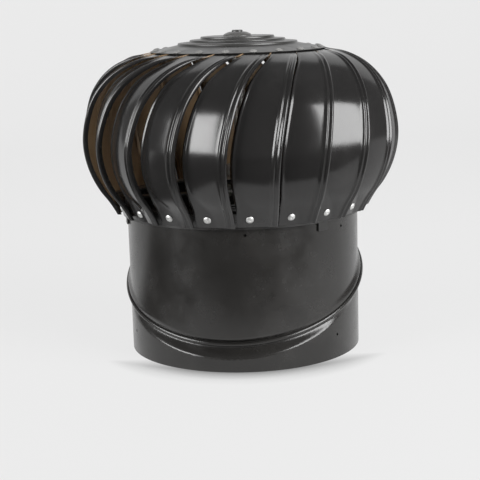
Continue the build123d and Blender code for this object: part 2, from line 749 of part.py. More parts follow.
lower_bearing_top = LOWER_BEARING_HEIGHT + LOWER_BEARING[2]
housing_bottom = LOWER_BEARING_HEIGHT - HOUSING_SKIRT
housing_bore = LOWER_BEARING[1]
arm_centre_height = housing_bottom - ARM_THICKNESS / 2
arm_depth = ring_back_depth + ARM_SEAT_GAP + ARM_THICKNESS / 2
arm_knee = (ARM_KNEE_RADIUS, arm_centre_height)
arm_hole_start = foot_point(BOTTOM_RIVET_RISE, ring_back_depth)

for number in range(ARMS):
    arm_azimuth = BOTTOM_RIVET_AZIMUTH + 360 * number / ARMS
    arm_bolt_centre = outward(arm_azimuth) * ARM_BOLT_RADIUS + Vector(0, 0, housing_bottom)
    with BuildPart() as spider_arm:
        with BuildSketch(radial_plane(arm_azimuth)):
            with BuildLine():
                FilletPolyline(
                    (ARM_INNER_RADIUS, arm_centre_height),
                    arm_knee,
                    foot_point(ARM_FOLD_RISE, arm_depth),
                    foot_point(ARM_TAIL_RISE - RIVET_TAIL_RADIUS, arm_depth),
                    radius=ARM_BEND_RADIUS,
                )
            trace(line_width=ARM_THICKNESS)
        extrude(amount=ARM_WIDTH / 2, both=True)
        with Locations(arm_bolt_centre):
            Hole(bolt_hole_radius, depth=ARM_THICKNESS)
        with Locations(surface_plane(arm_azimuth, arm_hole_start, foot_out)):
            Hole(rivet_hole_radius, depth=2 * ARM_THICKNESS)
    write(spider_arm.part, f"spider_arm_{number + 1}")

with BuildPart() as lower_bearing_housing:
    with BuildSketch(Plane.XZ):
        with BuildLine():
            Polyline(
                (housing_bore, housing_bottom),
                (HOUSING_FLANGE_RADIUS, housing_bottom),
                (HOUSING_FLANGE_RADIUS, housing_bottom + HOUSING_FLANGE_THICKNESS),
                (housing_bore + HOUSING_WALL, housing_bottom + HOUSING_FLANGE_THICKNESS),
                (housing_bore + HOUSING_WALL, lower_bearing_top + HOUSING_LIP_THICKNESS),
                (HOUSING_LIP_RADIUS, lower_bearing_top + HOUSING_LIP_THICKNESS),
                (HOUSING_LIP_RADIUS, lower_bearing_top),
                (housing_bore, lower_bearing_top),
                close=True,
            )
        make_face()
    revolve(axis=Axis.Z)
    with BuildSketch(Plane.XY.offset(housing_bottom)):
        with PolarLocations(ARM_BOLT_RADIUS, ARMS, start_angle=BOTTOM_RIVET_AZIMUTH - 90):
            Circle(bolt_hole_radius)
    extrude(amount=HOUSING_FLANGE_THICKNESS, mode=Mode.SUBTRACT)
write(lower_bearing_housing.part, "lower_bearing_housing")

bolt_group(
    "arm",
    ARM_BOLT_RADIUS,
    ARMS,
    BOTTOM_RIVET_AZIMUTH,
    housing_bottom + HOUSING_FLANGE_THICKNESS,
    HOUSING_FLANGE_THICKNESS + ARM_THICKNESS,
)

# --- Rotor: rivets ------------------------------------------------------------------------------

short_grip = ring_back_depth + VANE_HEAD_GAP + RIVET_SEAT_GAP
long_grip = short_grip + ARM_SEAT_GAP + ARM_THICKNESS
arm_step = VANES // ARMS
foot_seats = foot_rivet_planes(-VANE_HEAD_GAP)
with BuildPart() as bottom_rivets:
    with Locations(*[seat for number, seat in enumerate(foot_seats) if number % arm_step]):
        add(rivet(short_grip, RIVET_HEAD_HEIGHT))
    with Locations(*foot_seats[::arm_step]):
        add(rivet(long_grip, RIVET_HEAD_HEIGHT))
write(bottom_rivets.part, "bottom_rivets")

with BuildPart() as cap_rivets:
    with Locations(*cap_rivet_planes(-RIVET_SEAT_GAP)):
        add(rivet(2 * SHEET + CAP_VANE_GAP + 2 * RIVET_SEAT_GAP, RIVET_HEAD_HEIGHT))
write(cap_rivets.part, "cap_rivets")

# --- Rotor: upper bearing housing and crown -----------------------------------------------------

cap_underside = CAP_TOP_HEIGHT + cap_drop[1]
crown_shoulder = (CROWN_RADIUS * CROWN_SHOULDER_REACH, CROWN_HEIGHT * CROWN_SHOULDER_RISE)
housing_top = cap_underside - RIVET_SEAT_GAP
upper_bore = UPPER_BEARING[1]
retainer_top = UPPER_BEARING_HEIGHT - FIT_GAP
retainer_bottom = retainer_top - SNAP_RING_THICKNESS
retainer_groove = upper_bore + SNAP_GROOVE_DEPTH
bolt_seat = CAP_TOP_HEIGHT + CROWN_HEIGHT

with BuildPart() as upper_bearing_housing:
    with BuildSketch(Plane.XZ):
        with BuildLine():
            Polyline(
                (upper_bore, TOP_BOSS_BOTTOM),
                (TOP_BOSS_RADIUS, TOP_BOSS_BOTTOM),
                (TOP_BOSS_RADIUS, housing_top - TOP_FLANGE_THICKNESS),
                (TOP_FLANGE_RADIUS, housing_top - TOP_FLANGE_THICKNESS),
                (TOP_FLANGE_RADIUS, housing_top),
                (CROWN_BOLT_RADIUS + FIT_GAP, housing_top),
                (CROWN_BOLT_RADIUS + FIT_GAP, upper_bearing_top + TOP_RELIEF_HEIGHT),
                (TOP_RELIEF_RADIUS, upper_bearing_top + TOP_RELIEF_HEIGHT),
                (TOP_RELIEF_RADIUS, upper_bearing_top),
                (upper_bore, upper_bearing_top),
                (upper_bore, retainer_top),
                (retainer_groove, retainer_top),
                (retainer_groove, retainer_bottom),
                (upper_bore, retainer_bottom),
                close=True,
            )
        make_face()
    revolve(axis=Axis.Z)
write(upper_bearing_housing.part, "upper_bearing_housing")

ring_part(
    "housing_snap_ring",
    retainer_groove - SNAP_RING_WIDTH,
    retainer_groove - FIT_GAP,
    retainer_bottom + FIT_GAP,
    SNAP_RING_THICKNESS - 2 * FIT_GAP,
    springs=True,
)

crown_foot = CAP_TOP_HEIGHT + RIVET_SEAT_GAP
with BuildPart() as crown_cover:
    with BuildSketch(Plane.XZ):
        with BuildLine():
            crown_face = Spline(
                (CROWN_RADIUS, crown_foot),
                (crown_shoulder[0], crown_foot + crown_shoulder[1]),
                (CROWN_SEAT_RADIUS, bolt_seat),
                tangents=CROWN_TANGENTS,
            )
            Polyline(
                (CROWN_SEAT_RADIUS, bolt_seat),
                (CAP_BOLT_HOLE_RADIUS, bolt_seat),
                (CAP_BOLT_HOLE_RADIUS, bolt_seat - SHEET),
                (CROWN_SEAT_RADIUS, bolt_seat - SHEET),
            )
            crown_back = Spline(
                (CROWN_RADIUS - SHEET, crown_foot),
                (crown_shoulder[0] - SHEET, crown_foot + crown_shoulder[1] - SHEET / 2),
                (CROWN_SEAT_RADIUS, bolt_seat - SHEET),
                tangents=CROWN_TANGENTS,
            )
            Line(crown_face @ 0, crown_back @ 0)
        make_face()
    revolve(axis=Axis.Z)
write(crown_cover.part, "crown_cover")

with BuildPart() as crown_bolt:
    with BuildSketch(Plane.XY.offset(bolt_seat + FIT_GAP)):
        Circle(CROWN_BOLT_HEAD_RADIUS)
    extrude(amount=CROWN_BOLT_HEAD_HEIGHT)
    fillet(crown_bolt.edges().group_by(Axis.Z)[-1], CROWN_BOLT_HEAD_EDGE)
    with BuildSketch(Plane.XY.offset(bolt_seat + FIT_GAP)):
        Circle(CROWN_BOLT_RADIUS)
    extrude(amount=-CROWN_BOLT_LENGTH)
write(crown_bolt.part, "crown_bolt")
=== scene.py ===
import math

import bmesh
import bpy
import numpy as np
from mathutils import Matrix, Vector


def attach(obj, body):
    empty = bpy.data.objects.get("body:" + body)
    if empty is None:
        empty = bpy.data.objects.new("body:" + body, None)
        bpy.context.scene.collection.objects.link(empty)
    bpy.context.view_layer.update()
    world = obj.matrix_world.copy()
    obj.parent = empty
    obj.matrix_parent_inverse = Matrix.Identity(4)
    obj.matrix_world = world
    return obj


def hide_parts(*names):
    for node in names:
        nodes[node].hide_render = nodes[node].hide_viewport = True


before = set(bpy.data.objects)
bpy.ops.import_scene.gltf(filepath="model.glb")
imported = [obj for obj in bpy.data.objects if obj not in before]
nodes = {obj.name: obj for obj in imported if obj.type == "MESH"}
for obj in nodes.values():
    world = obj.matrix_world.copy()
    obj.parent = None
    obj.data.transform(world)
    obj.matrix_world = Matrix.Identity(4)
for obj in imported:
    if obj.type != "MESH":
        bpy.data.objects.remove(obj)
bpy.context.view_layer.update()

# Sizes shared with the solids, in millimetres
SHEET = 0.8
VANES = 20
PITCH = 18.0
VANE_BOTTOM = 181.0
# Each station up a vane: the inner edge's radius and height, how far the outer edge stands proud,
# the outer edge's azimuth, the width in degrees, the share of the rib height, how deep the outer
# edge turns in, and the share of the width that lies level. From the middle up the widths are
# wider than the solids'.
STATIONS = (
    (155.5, 178.0, 5.5, -3.0, 17.4, 1.0, 4.0, 0.5),
    (161.5, 190.5, 6.0, -3.2, 17.4, 1.0, 4.0, 0.5),
    (167.5, 203.0, 7.5, -3.6, 17.2, 1.0, 4.5, 0.4),
    (175.0, 217.5, 10.0, -4.2, 17.3, 1.0, 5.0, 0.2),
    (183.5, 245.0, 14.0, -4.8, 17.5, 1.0, 5.0, 0.0),
    (186.5, 272.0, 16.0, -4.4, 17.5, 1.0, 5.0, 0.0),
    (184.5, 300.0, 15.0, -2.8, 17.5, 1.0, 5.0, 0.0),
    (176.0, 331.0, 12.5, 0.3, 17.7, 1.0, 5.0, 0.0),
    (160.0, 355.5, 8.5, 5.0, 18.2, 1.0, 4.5, 0.0),
    (139.0, 371.0, 5.5, 11.5, 18.2, 0.8, 3.5, 0.0),
    (113.0, 382.24, 0.0, 20.5, 17.9, 0.0, 0.2, 0.0),
    (98.0, 385.16, 0.0, 25.0, 17.9, 0.0, 0.2, 0.0),
)
FOOT_SLOPE = (6.0, 12.5)
FOOT_UP = np.array(FOOT_SLOPE) / math.hypot(*FOOT_SLOPE)
FOOT_OUT = np.array((FOOT_UP[1], -FOOT_UP[0]))
CAP_RIM_RADIUS = 112.0
CAP_RIM_HEIGHT = 384.2
CAP_FALL = 6.8
CAP_RUN = 35.0
CAP_OUT = np.array((CAP_FALL, CAP_RUN)) / math.hypot(CAP_FALL, CAP_RUN)


# --- Materials ----------------------------------------------------------------------------------


def new_material(name):
    material = bpy.data.materials.new(name)
    material.use_nodes = True
    tree = material.node_tree
    tree.nodes.clear()
    out = tree.nodes.new("ShaderNodeOutputMaterial")
    shader = tree.nodes.new("ShaderNodeBsdfPrincipled")
    tree.links.new(shader.outputs["BSDF"], out.inputs["Surface"])
    return material, tree, shader


def link(tree, a, b):
    tree.links.new(a, b)


def noise(tree, scale, detail=3.0, rough=0.5, vector=None):
    coords = tree.nodes.new("ShaderNodeTexCoord")
    node = tree.nodes.new("ShaderNodeTexNoise")
    node.inputs["Scale"].default_value = scale
    node.inputs["Detail"].default_value = detail
    node.inputs["Roughness"].default_value = rough
    link(tree, vector or coords.outputs["Object"], node.inputs["Vector"])
    return node.outputs["Fac"]


def ramp(tree, source, stops):
    node = tree.nodes.new("ShaderNodeValToRGB")
    while len(node.color_ramp.elements) < len(stops):
        node.color_ramp.elements.new(0.5)
    for element, (place, value) in zip(node.color_ramp.elements, stops):
        element.position = place
        element.color = (*value, 1.0) if isinstance(value, tuple) else (value, value, value, 1.0)
    link(tree, source, node.inputs["Fac"])
    return node.outputs["Color"]


def bump(tree, height, strength, distance, normal=None):
    node = tree.nodes.new("ShaderNodeBump")
    node.inputs["Strength"].default_value = strength
    node.inputs["Distance"].default_value = distance
    link(tree, height, node.inputs["Height"])
    if normal is not None:
        link(tree, normal, node.inputs["Normal"])
    return node.outputs["Normal"]


def paint(name, base, rough, peel=0.1, dents=0.12, specular=0.5, coat=0.0, dusty=0.25):
    """Factory paint over sheet metal: orange peel, faint oil-canning, dusty patches."""
    material, tree, shader = new_material(name)
    light = tuple(min(1.0, value * 1.5 + 0.006) for value in base)
    dark = tuple(value * 0.8 for value in base)
    patches = noise(tree, 9.0, 4.0, 0.6)
    link(tree, ramp(tree, patches, ((0.3, dark), (0.52, base), (0.8, light))), shader.inputs["Base Color"])
    smears = noise(tree, 34.0, 5.0, 0.65)
    low, high = rough * (1 - dusty), min(1.0, rough * (1 + dusty))
    link(tree, ramp(tree, smears, ((0.3, low), (0.7, high))), shader.inputs["Roughness"])
    normal = bump(tree, noise(tree, 11.0, 1.5, 0.4), dents, 0.004)
    normal = bump(tree, noise(tree, 1400.0, 2.0, 0.5), peel, 0.0003, normal)
    link(tree, normal, shader.inputs["Normal"])
    shader.inputs["Specular IOR Level"].default_value = specular
    shader.inputs["Coat Weight"].default_value = coat
    shader.inputs["Coat Roughness"].default_value = 0.2
    return material


def metal(name, base, rough, grain=60.0, stretch=(1.0, 1.0, 12.0), strength=0.15, stain=None):
    """Bare metal with a drawn or turned grain, and stains where stain is given."""
    material, tree, shader = new_material(name)
    coords = tree.nodes.new("ShaderNodeTexCoord")
    mapping = tree.nodes.new("ShaderNodeMapping")
    mapping.inputs["Scale"].default_value = stretch
    link(tree, coords.outputs["Object"], mapping.inputs["Vector"])
    lines = noise(tree, grain, 4.0, 0.6, mapping.outputs["Vector"])
    darker = tuple(value * 0.72 for value in base)
    blotch = noise(tree, 70.0, 4.0, 0.6)
    link(
        tree,
        ramp(tree, blotch, ((0.32, stain or darker), (0.6, base))),
        shader.inputs["Base Color"],
    )
    link(tree, ramp(tree, lines, ((0.25, rough * 0.75), (0.75, rough * 1.3))), shader.inputs["Roughness"])
    link(tree, bump(tree, lines, strength, 0.0002), shader.inputs["Normal"])
    shader.inputs["Metallic"].default_value = 1.0
    return material


VANE_PAINT = paint("vane_paint", (0.0125, 0.012, 0.0118), 0.17, peel=0.04, dents=0.06, dusty=0.2)
VANE_BACK = paint("vane_back", (0.24, 0.16, 0.09), 0.42, peel=0.08, dents=0.08, dusty=0.2)
THROAT_PAINT = paint("throat_paint", (0.0125, 0.0118, 0.011), 0.24, peel=0.08, dents=0.14)
CAP_PAINT = paint("cap_paint", (0.03, 0.0295, 0.0285), 0.32, peel=0.08, dents=0.06)
CROWN_PAINT = paint("crown_paint", (0.07, 0.069, 0.067), 0.34, peel=0.08, dents=0.06)
STUD_PAINT = paint("stud_paint", (0.2, 0.198, 0.192), 0.4, peel=0.08, dents=0.06)
RING_PAINT = paint("ring_paint", (0.014, 0.0135, 0.013), 0.3)
RIVET = metal("rivet_metal", (0.66, 0.66, 0.65), 0.52, 500.0, (1, 1, 1), 0.2, (0.56, 0.56, 0.55))
STRAP = metal("strap_metal", (0.4, 0.4, 0.39), 0.42, 300.0, (1, 1, 1), 0.2)
HOUSING = metal("housing_metal", (0.5, 0.5, 0.5), 0.45, 300.0, (1, 1, 6), 0.2)
GROUND = metal("ground_metal", (0.5, 0.5, 0.5), 0.18, 500.0, (1, 1, 10), 0.08)
BALLS = metal("ball_metal", (0.6, 0.6, 0.6), 0.08, 500.0, (1, 1, 1), 0.02)
CAGE = metal("cage_metal", (0.55, 0.4, 0.17), 0.32, 400.0, (1, 1, 1), 0.15)
SPRING = metal("spring_metal", (0.16, 0.16, 0.17), 0.35, 400.0, (1, 1, 8), 0.15)
TURNED = metal("turned_metal", (0.46, 0.46, 0.45), 0.3, 200.0, (1, 1, 20), 0.2)
ZINC = metal("zinc_metal", (0.5, 0.5, 0.48), 0.36, 250.0, (1, 1, 1), 0.2, (0.4, 0.39, 0.34))

FINISH = {
    "lower_throat": THROAT_PAINT,
    "upper_throat": THROAT_PAINT,
    "bottom_ring": RING_PAINT,
    "top_cap": CAP_PAINT,
    "crown_cover": CROWN_PAINT,
    "bracket_hub": STRAP,
    "lower_bearing_housing": HOUSING,
    "upper_bearing_housing": HOUSING,
    "shaft": TURNED,
    "crown_bolt": CAP_PAINT,
}


def finish_of(name):
    if name in FINISH:
        return FINISH[name]
    for part, material in (
        ("vane_", VANE_PAINT),
        ("bracket_leg", RING_PAINT),
        ("cap_rivets", CAP_PAINT),
        ("spider_arm", RING_PAINT),
        ("rivets", RIVET),
        ("race", GROUND),
        ("balls", BALLS),
        ("cage", CAGE),
        ("snap_ring", SPRING),
    ):
        if part in name:
            return material
    return ZINC


for name, node in nodes.items():
    node.data.materials.clear()
    node.data.materials.append(finish_of(name))


# --- Mesh helpers -------------------------------------------------------------------------------


def outward(azimuth):
    return np.array((math.sin(math.radians(azimuth)), -math.cos(math.radians(azimuth)), 0.0))


def along_circle(azimuth):
    return np.array((math.cos(math.radians(azimuth)), math.sin(math.radians(azimuth)), 0.0))


def make_object(name, points, faces, materials, slots=None, smooth_angle=35.0):
    """Object from points in millimetres; slots gives each face's material number."""
    mesh = bpy.data.meshes.new(name)
    mesh.from_pydata([tuple(0.001 * value for value in point) for point in points], [], faces)
    for material in materials:
        mesh.materials.append(material)
    if slots is not None:
        mesh.polygons.foreach_set("material_index", slots)
    mesh.polygons.foreach_set("use_smooth", [True] * len(mesh.polygons))
    mesh.set_sharp_from_angle(angle=math.radians(smooth_angle))
    mesh.update()
    piece = bpy.data.objects.new(name, mesh)
    bpy.context.scene.collection.objects.link(piece)
    return piece


def curve_table(columns, count):
    """Values of a smooth curve through the rows of a table, at evenly spaced places along it."""
    rows = np.array(columns)
    chord = np.hypot(*np.diff(rows[:, :2], axis=0).T)
    place = np.concatenate(([0.0], np.cumsum(chord)))
    slopes = np.gradient(rows, place, axis=0)
    wanted = np.linspace(0.0, place[-1], count)
    out = np.empty((count, rows.shape[1]))
    for index, value in enumerate(wanted):
        low = min(np.searchsorted(place, value, side="right") - 1, len(place) - 2)
        span = place[low + 1] - place[low]
        t = (value - place[low]) / span
        h00, h10 = 2 * t**3 - 3 * t**2 + 1, t**3 - 2 * t**2 + t
        h01, h11 = -2 * t**3 + 3 * t**2, t**3 - t**2
        out[index] = (
            h00 * rows[low] + h10 * span * slopes[low] + h01 * rows[low + 1] + h11 * span * slopes[low + 1]
        )
    return out


# --- Vanes --------------------------------------------------------------------------------------

# Across the outer edge: distance from the edge, share of the rib height, share of the turn-in
EDGE_LINE = (
    (0.55, 0.0, 1.0),
    (0.35, 0.0, 0.62),
    (0.3, 0.05, 0.3),
    (0.5, 0.15, 0.1),
    (1.0, 0.3, 0.0),
    (1.7, 0.6, 0.0),
    (2.5, 0.9, 0.0),
    (3.3, 1.0, 0.0),
    (4.1, 0.9, 0.0),
    (4.9, 0.55, 0.0),
    (5.6, 0.25, 0.0),
    (6.4, 0.16, 0.0),
    (7.1, 0.3, 0.0),
    (7.8, 0.62, 0.0),
    (8.6, 0.85, 0.0),
    (9.4, 0.86, 0.0),
    (10.2, 0.6, 0.0),
    (11.0, 0.25, 0.0),
    (11.9, 0.05, 0.0),
    (13.0, 0.0, 0.0),
)
CURL_LINE = (
    (7.5, 0.0),
    (6.4, 0.12),
    (5.4, 0.5),
    (4.6, 0.85),
    (3.8, 1.0),
    (3.0, 0.8),
    (2.3, 0.35),
    (1.7, -0.2),
    (1.2, -0.75),
    (0.8, -1.3),
)
RIB_HEIGHT = 2.0
CURL_HEIGHT = 1.2
TURN_IN = 5.0
PANEL_COLUMNS = 18
VANE_ROWS = 84

table = curve_table(STATIONS, VANE_ROWS)
climb = np.gradient(table[:, :2], axis=0)
climb /= np.linalg.norm(climb, axis=1)[:, None]


def vane_surface(drop):
    """Points of one vane's outer face, or of its back when drop is the sheet's thickness."""
    grid = []
    for row in range(VANE_ROWS):
        radius, height, proud, edge, width, rib, turn, level = table[row]
        up = climb[row]
        out = np.array((up[1], -up[0]))
        span = math.radians(width) * (radius + proud / 2)
        bend = max(0.0, min(1.0, turn / TURN_IN))
        curl = CURL_HEIGHT * rib * (1 - 2 * level)
        line = []
        for place, rib_part, turn_part in EDGE_LINE:
            line.append((span - place, RIB_HEIGHT * rib * rib_part - turn * turn_part * bend))
        last = span - EDGE_LINE[-1][0]
        first = CURL_LINE[0][0]
        for column in range(1, PANEL_COLUMNS):
            line.append((last + (first - last) * column / PANEL_COLUMNS, 0.0))
        for place, part in CURL_LINE:
            line.append((place, curl * part))
        level = max(0.0, level)
        flat = []
        for across, extra in line:
            share = across / span
            lift = proud * max(0.0, (share - level) / (1 - level))
            flat.append((across, lift + extra))
        flat = np.array(flat)
        if drop:
            along = np.gradient(flat, axis=0)
            along /= np.linalg.norm(along, axis=1)[:, None]
            flat = flat + drop * np.stack((-along[:, 1], along[:, 0]), axis=1)
        points = []
        for across, high in flat:
            azimuth = edge - width * (1 - across / span)
            place = np.array((radius, height)) + out * high
            points.append(outward(azimuth) * place[0] + np.array((0.0, 0.0, place[1])))
        grid.append(points)
    return np.array(grid)


def trim_bottom(grid):
    """Moves the rows below the vane's straight lower end up onto it."""
    for column in range(grid.shape[1]):
        heights = grid[:, column, 2]
        above = int(np.argmax(heights > VANE_BOTTOM))
        if above == 0:
            continue
        share = (VANE_BOTTOM - heights[above - 1]) / (heights[above] - heights[above - 1])
        cut = grid[above - 1, column] + share * (grid[above, column] - grid[above - 1, column])
        rest = np.linspace(0.0, 1.0, above + 1)
        tail = cut + rest[:, None] * (grid[above, column] - cut)
        grid[: above + 1, column] = tail
    return grid


front = trim_bottom(vane_surface(0.0))
back = trim_bottom(vane_surface(SHEET))
rows, columns = front.shape[:2]
vane_points = np.concatenate((front.reshape(-1, 3), back.reshape(-1, 3)))
half = rows * columns
vane_faces, vane_slots = [], []
for row in range(rows - 1):
    for column in range(columns - 1):
        a = row * columns + column
        b, c, d = a + 1, a + columns + 1, a + columns
        vane_faces.append((a, d, c, b))
        vane_slots.append(0)
        vane_faces.append((half + a, half + b, half + c, half + d))
        vane_slots.append(1)
for row in range(rows - 1):
    for column, flip in ((0, False), (columns - 1, True)):
        a = row * columns + column
        face = (a, half + a, half + a + columns, a + columns)
        vane_faces.append(face[::-1] if flip else face)
        vane_slots.append(0)
for column in range(columns - 1):
    for row, flip in ((0, True), (rows - 1, False)):
        a = row * columns + column
        face = (a, half + a, half + a + 1, a + 1)
        vane_faces.append(face[::-1] if flip else face)
        vane_slots.append(0)

for number in range(VANES):
    turn = math.radians(number * PITCH)
    spin = np.array(
        ((math.cos(turn), -math.sin(turn), 0), (math.sin(turn), math.cos(turn), 0), (0, 0, 1))
    )
    piece = make_object(
        f"louvre_{number + 1:02d}", vane_points @ spin.T, vane_faces, (VANE_PAINT, VANE_BACK), vane_slots, 50
    )
    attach(piece, "rotor")
    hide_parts(f"vane_{number + 1:02d}")

# --- Rivets -------------------------------------------------------------------------------------

FOOT_PLACE = (161.5, 190.5)
FOOT_RISE = 0.6
FOOT_SEAT = 0.36
FOOT_AZIMUTH = 3
FOOT_GRIP = 2.51
ARM_GRIP = 4.86
VANES_PER_ARM = 5
CAP_RIVET_RADIUS = 106.0
CAP_SEAT = 0.1
CAP_AZIMUTH = 10
CAP_GRIP = 2.8
LEGS = 3
LEG_AZIMUTH = 40.2
LEG_PLACE = (152.4, 188.0)
LEG_HEAD_HEIGHT = 1.2
LEG_GRIP = 3.5
RIVET_STEPS = 32
HEAD_RADIUS = 4.7
HEAD_HEIGHT = 1.9
SHANK_RADIUS = 2.4
TAIL_RADIUS = 3.4
TAIL_HEIGHT = 1.5


def rivet_profile(head_height, grip):
    """Half outline of a pull rivet: dimpled dome, shank, bulbed tail."""
    low = 0.25
    return (
        (0.0, head_height - 0.75),
        (0.55, head_height - 0.72),
        (0.8, head_height - 0.5),
        (0.95, head_height - 0.12),
        (1.25, head_height),
        (1.7, head_height - 0.06),
        (2.4, head_height * 0.9),
        (3.2, head_height * 0.73),
        (3.9, head_height * 0.5),
        (4.4, head_height * 0.3),
        (HEAD_RADIUS, low),
        (HEAD_RADIUS, 0.02),
        (HEAD_RADIUS - 0.15, 0.0),
        (SHANK_RADIUS, 0.0),
        (SHANK_RADIUS, -grip),
        (TAIL_RADIUS - 0.2, -grip),
        (TAIL_RADIUS, -grip - 0.3),
        (TAIL_RADIUS - 0.2, -grip - 0.9),
        (SHANK_RADIUS, -grip - TAIL_HEIGHT),
        (1.0, -grip - TAIL_HEIGHT),
        (0.9, -grip - TAIL_HEIGHT + 0.4),
        (0.0, -grip - TAIL_HEIGHT + 0.4),
    )


def turned_points(profile, origin, x_axis, y_axis, z_axis, count):
    points, faces = [], []
    ring = len(profile)
    for step in range(count):
        angle = 2 * math.pi * step / count
        spoke = x_axis * math.cos(angle) + y_axis * math.sin(angle)
        for reach, rise in profile:
            points.append(origin + spoke * max(reach, 0.001) + z_axis * rise)
        following = (step + 1) % count
        for index in range(ring - 1):
            a, b = step * ring + index, following * ring + index
            faces.append((a, a + 1, b + 1, b))
    return points, faces


def rivet_set(name, node, body, material, seats):
    """Rivets as one piece; seats are (origin, normal, tangent, head height, grip)."""
    all_points, all_faces = [], []
    for origin, normal, tangent, head_height, grip in seats:
        third = np.cross(normal, tangent)
        points, faces = turned_points(
            rivet_profile(head_height, grip), origin, tangent, third, normal, RIVET_STEPS
        )
        base = len(all_points)
        all_points += points
        all_faces += [tuple(index + base for index in face) for face in faces]
    piece = make_object(name, all_points, all_faces, (material,))
    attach(piece, body)
    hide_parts(node)


def surface_seat(azimuth, place, facing, head_height, grip):
    out = outward(azimuth)
    origin = out * place[0] + np.array((0.0, 0.0, place[1]))
    normal = out * facing[0] + np.array((0.0, 0.0, facing[1]))
    return origin, normal, along_circle(azimuth), head_height, grip


foot_seat = np.array(FOOT_PLACE) + FOOT_RISE * FOOT_UP + FOOT_SEAT * FOOT_OUT
foot_grips = [FOOT_GRIP if k % VANES_PER_ARM else ARM_GRIP for k in range(VANES)]
rivet_set(
    "foot_rivet_heads",
    "bottom_rivets",
    "rotor",
    RIVET,
    [
        surface_seat(FOOT_AZIMUTH + PITCH * k, foot_seat, FOOT_OUT, HEAD_HEIGHT, foot_grips[k])
        for k in range(VANES)
    ],
)
cap_rise = (CAP_RIM_RADIUS - CAP_RIVET_RADIUS) * CAP_FALL / CAP_RUN
cap_place = np.array((CAP_RIVET_RADIUS, CAP_RIM_HEIGHT + cap_rise)) + CAP_SEAT * CAP_OUT
rivet_set(
    "cap_rivet_heads",
    "cap_rivets",
    "rotor",
    STUD_PAINT,
    [
        surface_seat(CAP_AZIMUTH + PITCH * k, cap_place, CAP_OUT, HEAD_HEIGHT, CAP_GRIP)
        for k in range(VANES)
    ],
)
rivet_set(
    "leg_rivet_heads",
    "leg_rivets",
    "swivel_throat",
    RIVET,
    [
        surface_seat(LEG_AZIMUTH + 360 / LEGS * k, LEG_PLACE, (1.0, 0.0), LEG_HEAD_HEIGHT, LEG_GRIP)
        for k in range(LEGS)
    ],
)

# --- Lower throat -------------------------------------------------------------------------------

# The solid's own mesh, with the flare below the seam's neck drawn up shorter
SEAM_TILT = math.radians(24.0)
SEAM_LOW_AZIMUTH = -8.5
SEAM_CENTRE = np.array((0.0, 0.0, 95.0))
SEAM_RADIUS = 153.8
SEAM_NECK = 3.8
SOLID_FLARE = 14.0
FLARE = 7.0
FLARE_CUTS = 7
TUBE_RADIUS = 150.0

uphill = -outward(SEAM_LOW_AZIMUTH)
seam_normal = np.array((0.0, 0.0, math.cos(SEAM_TILT))) - uphill * math.sin(SEAM_TILT)
seam_along = uphill * math.cos(SEAM_TILT) + np.array((0.0, 0.0, math.sin(SEAM_TILT)))
seam_across = np.cross(seam_normal, seam_along)


def flare_outline(distance, reach):
    """Centre shift and half-widths of the throat at a distance below the seam."""
    share = np.clip((distance - SEAM_NECK) / reach, 0.0, 1.0)
    share = share * share * (3 - 2 * share)
    shift = -share * distance * math.tan(SEAM_TILT)
    along = SEAM_RADIUS + (TUBE_RADIUS / math.cos(SEAM_TILT) - SEAM_RADIUS) * share
    across = SEAM_RADIUS + (TUBE_RADIUS - SEAM_RADIUS) * share
    return shift, along, across


cut = bmesh.new()
cut.from_mesh(nodes["lower_throat"].data)
cut.transform(nodes["lower_throat"].matrix_world)
for step in range(FLARE_CUTS + 1):
    level = SEAM_CENTRE - seam_normal * (SEAM_NECK + FLARE * step / FLARE_CUTS)
    everything = cut.verts[:] + cut.edges[:] + cut.faces[:]
    bmesh.ops.bisect_plane(
        cut, geom=everything, plane_co=Vector(level * 0.001), plane_no=Vector(seam_normal)
    )
bmesh.ops.remove_doubles(cut, verts=cut.verts[:], dist=1e-6)
throat_mesh = bpy.data.meshes.new("throat_collar")
cut.to_mesh(throat_mesh)
cut.free()
spots = np.empty(len(throat_mesh.vertices) * 3)
throat_mesh.vertices.foreach_get("co", spots)
spots = spots.reshape(-1, 3) * 1000.0 - SEAM_CENTRE
distance = -(spots @ seam_normal)
below = distance > SEAM_NECK
solid_shift, solid_along, solid_across = flare_outline(distance, SOLID_FLARE)
shift, along, across = flare_outline(distance, FLARE)
new_along = shift + (spots @ seam_along - solid_shift) * along / solid_along
new_across = (spots @ seam_across) * across / solid_across
moved = (
    SEAM_CENTRE
    - distance[:, None] * seam_normal
    + new_along[:, None] * seam_along
    + new_across[:, None] * seam_across
)
spots = np.where((below & (distance < SEAM_NECK + SOLID_FLARE))[:, None], moved, spots + SEAM_CENTRE)
throat_mesh.vertices.foreach_set("co", (spots * 0.001).ravel())
throat_mesh.polygons.foreach_set("use_smooth", [True] * len(throat_mesh.polygons))
throat_mesh.set_sharp_from_angle(angle=math.radians(40.0))
throat_mesh.materials.clear()
throat_mesh.materials.append(THROAT_PAINT)
collar = bpy.data.objects.new("throat_collar", throat_mesh)
bpy.context.scene.collection.objects.link(collar)
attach(collar, "throat_base")
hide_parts("lower_throat")

# --- Stage --------------------------------------------------------------------------------------

FLOOR_GREY = 0.72
FLOOR_DROP = 0.05
# Share of the plain glow in what the camera sees, and the strengths of the glows
GLOW_SHARE = 0.9
BACKGROUND = 0.84
# Painted shade on the floor close in front of the base: ambient occlusion darkens the camera's glow there
SHADE_REACH = 0.05
SHADE_DEPTH = 0.2
# Glow that only reflections see: a painted bright table patch on the floor, and a dim room glow elsewhere
TABLE_GLOW = 0.8
ROOM_GLOW = 0.06

